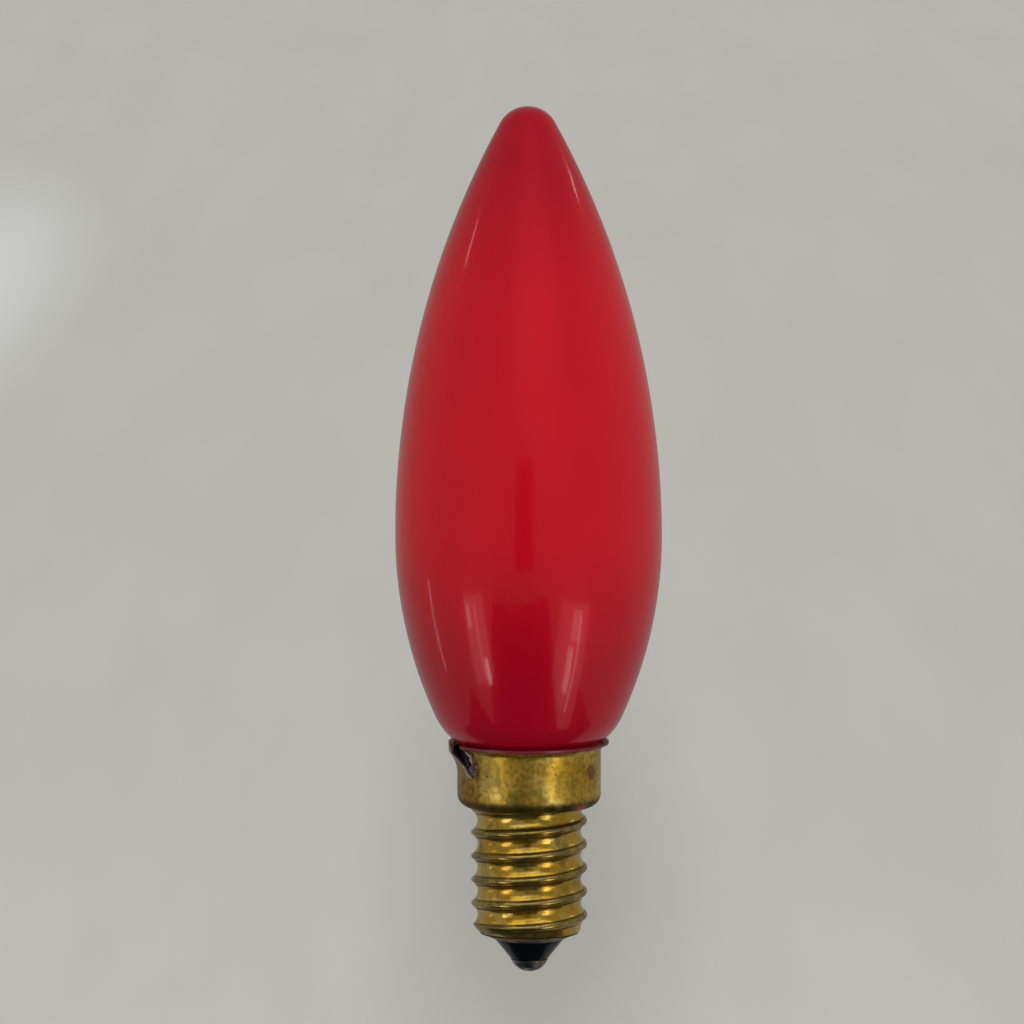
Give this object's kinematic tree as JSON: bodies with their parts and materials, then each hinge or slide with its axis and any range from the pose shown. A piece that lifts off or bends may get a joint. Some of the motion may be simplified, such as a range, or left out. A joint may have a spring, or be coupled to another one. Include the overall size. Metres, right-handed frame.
{
  "type": "candle bulb",
  "caption": "Candle-shaped lamp bulb of red lacquered glass, with a small brass screw cap, black insulator and soldered contacts.",
  "frame": {"origin": "lowest point of the solder dome on the centre contact, on the lamp's axis", "axes": "+Z along the lamp's axis, from the centre contact to the glass tip; the soldered gap in the cap's rim is at 213 degrees from +X towards +Y"},
  "size_m": [0.0314, 0.0314, 0.1027],
  "materials": {
    "red_lacquered_glass": "gloss",
    "aged_brass": "satin, tarnished",
    "black_glass": "satin",
    "solder": "dull",
    "burnt_solder": "dull, with burnt flux",
    "lead_wire": "drawn",
    "cement": "matte"
  },
  "bodies": {
    "root": {"glass_bulb": "red_lacquered_glass", "cap_shell": "aged_brass", "cap_insulator": "black_glass", "contact_eyelet": "aged_brass", "centre_solder": "solder", "side_solder": "burnt_solder", "centre_lead_wire": "lead_wire", "side_lead_wire": "lead_wire", "cap_cement": "cement"}
  },
  "joints": []
}
